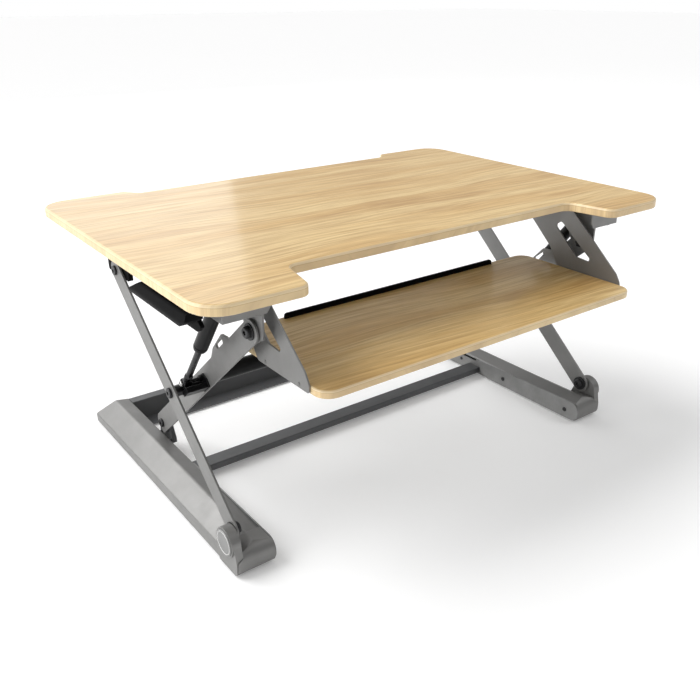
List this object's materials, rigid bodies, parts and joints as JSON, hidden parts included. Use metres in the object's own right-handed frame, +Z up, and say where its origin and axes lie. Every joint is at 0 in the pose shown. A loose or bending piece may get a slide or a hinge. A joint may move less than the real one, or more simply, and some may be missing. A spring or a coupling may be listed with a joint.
{
  "type": "standing desk converter",
  "caption": "Sit-stand desk riser: notched wood top and hung keyboard tray raised level by a gas-sprung scissor frame on a low steel base, released by squeeze levers.",
  "frame": {"origin": "middle of the overall footprint at the underside of the rubber feet", "axes": "+X to the user's right along the long side, +Y from the user to the back, +Z up; stored about three quarters of the way up its lift"},
  "size_m": [0.9, 0.6654, 0.443],
  "materials": {
    "wood": "pale straight-grained laminate, satin",
    "frame_paint": "silver-grey powder coat",
    "beam_paint": "darker grey powder coat",
    "black_metal": "satin black paint",
    "black_plastic": "fine-textured moulding",
    "grey_plastic": "grey moulding",
    "bolts": "dark zinc",
    "polished_rod": "dark polished",
    "rubber": "matt"
  },
  "bodies": {
    "base": {"rail_left": "frame_paint", "rail_right": "frame_paint", "rail_floor_left": "beam_paint", "rail_floor_right": "beam_paint", "inner_cover_left": "grey_plastic", "inner_cover_right": "grey_plastic", "track_liner_left": "black_plastic", "track_liner_right": "black_plastic", "pivot_housing_left": "frame_paint", "pivot_housing_right": "frame_paint", "housing_cap_left": "grey_plastic", "housing_cap_right": "grey_plastic", "lower_pivot_bolt_left": "bolts", "lower_pivot_bolt_right": "bolts", "rear_beam": "beam_paint", "cross_bar": "beam_paint", "rubber_feet": "rubber", "cover_screws": "bolts"},
    "outer_arms": {"outer_arm_left": "frame_paint", "outer_arm_right": "frame_paint", "cross_pivot_left": "bolts", "cross_pivot_right": "bolts", "top_slider_pin_left": "bolts", "top_slider_pin_right": "bolts"},
    "inner_arms": {"inner_arm_left": "frame_paint", "inner_arm_right": "frame_paint", "spring_bracket_left": "black_metal", "spring_bracket_right": "black_metal", "arm_tube": "black_metal", "ball_studs": "bolts", "base_slider_pins": "bolts"},
    "base_slider_left": {"base_slider_left": "beam_paint"},
    "base_slider_right": {"base_slider_right": "beam_paint"},
    "top_slider_left": {"top_slider_left": "black_plastic"},
    "top_slider_right": {"top_slider_right": "black_plastic"},
    "desktop": {"desktop_board": "wood", "keyboard_tray": "wood", "tray_fence": "black_plastic", "front_bracket_left": "frame_paint", "front_bracket_right": "frame_paint", "tray_bracket_left": "frame_paint", "tray_bracket_right": "frame_paint", "slide_channel_left": "black_metal", "slide_channel_right": "black_metal", "lever_mount_left": "black_plastic", "lever_mount_right": "black_plastic", "upper_pivot_bolts": "bolts", "desk_screws": "bolts", "tray_screws": "frame_paint", "spring_top_pins": "bolts", "lever_pins": "bolts"},
    "gas_rod_left": {"gas_rod_left": "polished_rod"},
    "gas_rod_right": {"gas_rod_right": "polished_rod"},
    "gas_cylinder_left": {"gas_cylinder_left": "black_metal"},
    "gas_cylinder_right": {"gas_cylinder_right": "black_metal"},
    "lever_left": {"lever_left": "black_plastic"},
    "lever_right": {"lever_right": "black_plastic"}
  },
  "joints": [
    {"name": "lift", "type": "hinge", "parent": "base", "child": "outer_arms", "pos_m": [0, -0.20075, 0.061], "axis": [1, 0, 0], "range_deg": [-38, 10.4]},
    {"name": "scissor", "type": "hinge", "parent": "outer_arms", "child": "inner_arms", "pos_m": [0, -0.02536, 0.21133], "axis": [1, 0, 0], "range_deg": [-21.2, 76.4]},
    {"name": "desk_level", "type": "hinge", "parent": "inner_arms", "child": "desktop", "pos_m": [0, -0.20075, 0.36166], "axis": [1, 0, 0], "range_deg": [-38.4, 10.8]},
    {"name": "base_slider_left_turn", "type": "hinge", "parent": "inner_arms", "child": "base_slider_left", "pos_m": [-0.3355, 0.15003, 0.061], "axis": [1, 0, 0], "range_deg": [-38.4, 10.8]},
    {"name": "top_slider_left_turn", "type": "hinge", "parent": "outer_arms", "child": "top_slider_left", "pos_m": [-0.3852, 0.15003, 0.36166], "axis": [1, 0, 0], "range_deg": [-10.8, 38.4]},
    {"name": "gas_spring_left_swing", "type": "hinge", "parent": "inner_arms", "child": "gas_rod_left", "pos_m": [-0.372, -0.0387, 0.22803], "axis": [1, 0, 0], "range_deg": [-2.87, 1.08]},
    {"name": "gas_spring_left_stroke", "type": "slide", "parent": "gas_rod_left", "child": "gas_cylinder_left", "axis": [0, -0.6078, 0.7941], "range_m": [-0.03482, 0.01026]},
    {"name": "lever_left_squeeze", "type": "hinge", "parent": "desktop", "child": "lever_left", "pos_m": [-0.404, -0.13475, 0.404], "axis": [0, 1, 0], "range_deg": [0, 10], "stiffness_Nm_per_rad": 1.5, "springref_deg": -14.32},
    {"name": "base_slider_right_turn", "type": "hinge", "parent": "inner_arms", "child": "base_slider_right", "pos_m": [0.3355, 0.15003, 0.061], "axis": [1, 0, 0], "range_deg": [-38.4, 10.8]},
    {"name": "top_slider_right_turn", "type": "hinge", "parent": "outer_arms", "child": "top_slider_right", "pos_m": [0.3852, 0.15003, 0.36166], "axis": [1, 0, 0], "range_deg": [-10.8, 38.4]},
    {"name": "gas_spring_right_swing", "type": "hinge", "parent": "inner_arms", "child": "gas_rod_right", "pos_m": [0.372, -0.0387, 0.22803], "axis": [1, 0, 0], "range_deg": [-2.87, 1.08]},
    {"name": "gas_spring_right_stroke", "type": "slide", "parent": "gas_rod_right", "child": "gas_cylinder_right", "axis": [0, -0.6078, 0.7941], "range_m": [-0.03482, 0.01026]},
    {"name": "lever_right_squeeze", "type": "hinge", "parent": "desktop", "child": "lever_right", "pos_m": [0.404, -0.13475, 0.404], "axis": [0, -1, 0], "range_deg": [0, 10], "stiffness_Nm_per_rad": 1.5, "springref_deg": -14.32}
  ],
  "couplings": [
    {"joint": "scissor", "follows": "lift", "ratio": -2},
    {"joint": "desk_level", "follows": "lift", "ratio": 1},
    {"joint": "base_slider_left_turn", "follows": "lift", "ratio": 1},
    {"joint": "top_slider_left_turn", "follows": "lift", "ratio": -1},
    {"joint": "gas_spring_left_swing", "follows": "lift", "ratio": 0.065},
    {"joint": "gas_spring_left_stroke", "follows": "lift", "m_per_rad": 0.051},
    {"joint": "base_slider_right_turn", "follows": "lift", "ratio": 1},
    {"joint": "top_slider_right_turn", "follows": "lift", "ratio": -1},
    {"joint": "gas_spring_right_swing", "follows": "lift", "ratio": 0.065},
    {"joint": "gas_spring_right_stroke", "follows": "lift", "m_per_rad": 0.051}
  ]
}
